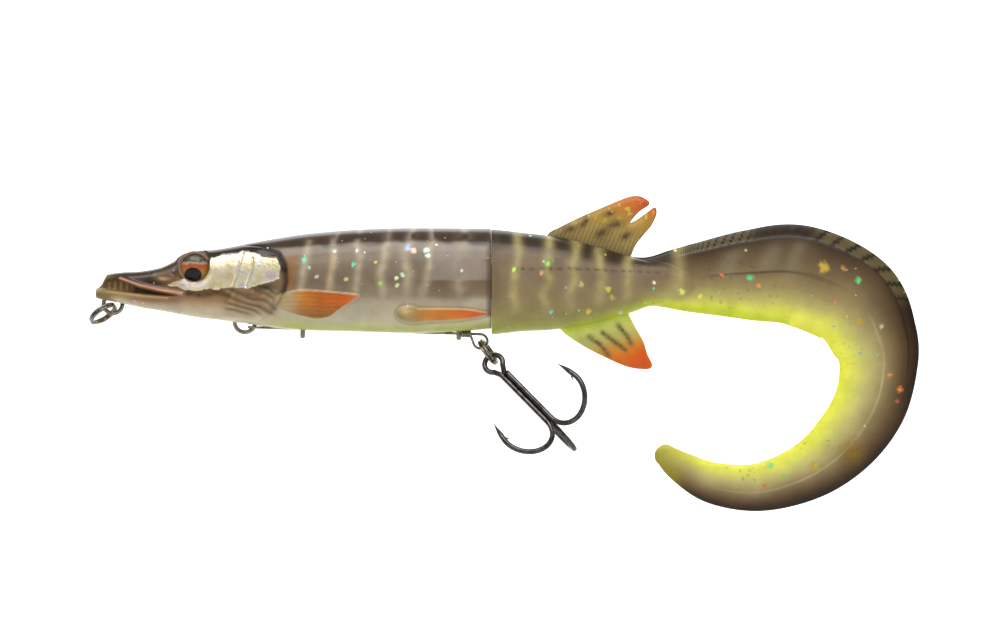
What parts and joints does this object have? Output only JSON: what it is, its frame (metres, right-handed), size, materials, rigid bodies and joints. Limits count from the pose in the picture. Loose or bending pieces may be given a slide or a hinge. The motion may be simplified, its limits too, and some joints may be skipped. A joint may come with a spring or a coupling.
{
  "type": "swimbait",
  "caption": "Jointed fishing lure with a hard hollow front, a push-in soft curl tail and a belly-pinned wire stinger that carries a treble hook.",
  "frame": {"origin": "centre of the tow eye's loop, under the lower jaw, on the parting plane of the two shells", "axes": "+X from the nose towards the tail, +Z towards the back, +Y towards the fish's right flank"},
  "size_m": [0.1719, 0.0252, 0.0652],
  "materials": {
    "clear_shell": "clear tinted moulding with metal flake",
    "foil": "holographic film",
    "ballast": "dull metal slug",
    "rattle_plastic": "clear capsule",
    "ball_steel": "polished bearing balls",
    "iris": "printed disc",
    "lens": "clear epoxy dome",
    "wire": "drawn stainless wire",
    "split_ring": "nickel plated",
    "peg_plastic": "clear moulding",
    "hook_metal": "black nickel",
    "plug_plastic": "clear tinted moulding",
    "soft_body": "soft glossy translucent elastomer",
    "soft_fin": "soft glossy translucent elastomer",
    "soft_curl": "soft glossy translucent elastomer"
  },
  "bodies": {
    "hard_body": {"left_shell": "clear_shell", "right_shell": "clear_shell", "left_foil": "foil", "right_foil": "foil", "keel_weight": "ballast", "head_weight": "ballast", "rattle_tube": "rattle_plastic", "left_eye_iris": "iris", "left_eye_lens": "lens", "right_eye_iris": "iris", "right_eye_lens": "lens", "tow_eye": "wire", "belly_hanger": "wire"},
    "rattle": {"rattle_balls": "ball_steel"},
    "nose_ring": {"nose_ring": "split_ring"},
    "stinger": {"stinger_wire": "wire", "front_peg": "peg_plastic", "rear_peg": "peg_plastic"},
    "hook_ring": {"hook_ring": "split_ring"},
    "treble": {"treble_double": "hook_metal", "treble_single": "hook_metal"},
    "tail_front": {"tail_plug": "plug_plastic", "tail_front": "soft_body"},
    "tail_mid": {"tail_mid": "soft_body", "dorsal_fin": "soft_fin", "anal_fin": "soft_fin"},
    "tail_root": {"tail_root": "soft_curl"},
    "curl_top": {"curl_top": "soft_curl"},
    "curl_side": {"curl_side": "soft_curl"},
    "curl_tip": {"curl_tip": "soft_curl"}
  },
  "joints": [
    {"name": "nose_ring_swing", "type": "hinge", "parent": "hard_body", "child": "nose_ring", "pos_m": [0.0003, 0, -0.00035], "axis": [0, 1, 0], "range_deg": [-100, 24]},
    {"name": "rattle_roll", "type": "slide", "parent": "hard_body", "child": "rattle", "axis": [1, 0, 0], "range_m": [-0.0001, 0.0012]},
    {"name": "stinger_swing", "type": "hinge", "parent": "hard_body", "child": "stinger", "pos_m": [0.02933, 0, -0.00485], "axis": [0, 1, 0], "range_deg": [0, 22]},
    {"name": "hook_ring_swing", "type": "hinge", "parent": "stinger", "child": "hook_ring", "pos_m": [0.0761, 0, -0.00775], "axis": [0, 1, 0], "range_deg": [-12, 75]},
    {"name": "treble_sway", "type": "hinge", "parent": "hook_ring", "child": "treble", "pos_m": [0.07767, 0, -0.00994], "axis": [0.808, 0, 0.5892], "range_deg": [-12, 68]},
    {"name": "tail_pull", "type": "slide", "parent": "hard_body", "child": "tail_front", "axis": [1, 0, 0], "range_m": [0, 0.012]},
    {"name": "tail_flex", "type": "hinge", "parent": "tail_front", "child": "tail_mid", "pos_m": [0.0895, 0, 0.0045], "axis": [0, 0, 1], "range_deg": [-14, 14], "stiffness_Nm_per_rad": 0.01},
    {"name": "curl_wag", "type": "hinge", "parent": "tail_mid", "child": "tail_root", "pos_m": [0.1088, 0, 0.0045], "axis": [0, 0, 1], "range_deg": [-20, 20], "stiffness_Nm_per_rad": 0.005},
    {"name": "curl_top_flex", "type": "hinge", "parent": "tail_root", "child": "curl_top", "pos_m": [0.1319, 0, 0.006], "axis": [-0.0193, 0, 0.9998], "range_deg": [-30, 30], "stiffness_Nm_per_rad": 0.004},
    {"name": "curl_side_flex", "type": "hinge", "parent": "curl_top", "child": "curl_side", "pos_m": [0.1575, 0, -0.007], "axis": [0.933, 0, 0.3599], "range_deg": [-30, 30], "stiffness_Nm_per_rad": 0.003},
    {"name": "curl_tip_flex", "type": "hinge", "parent": "curl_side", "child": "curl_tip", "pos_m": [0.1513, 0, -0.0288], "axis": [0.726, 0, -0.6877], "range_deg": [-30, 30], "stiffness_Nm_per_rad": 0.002}
  ]
}
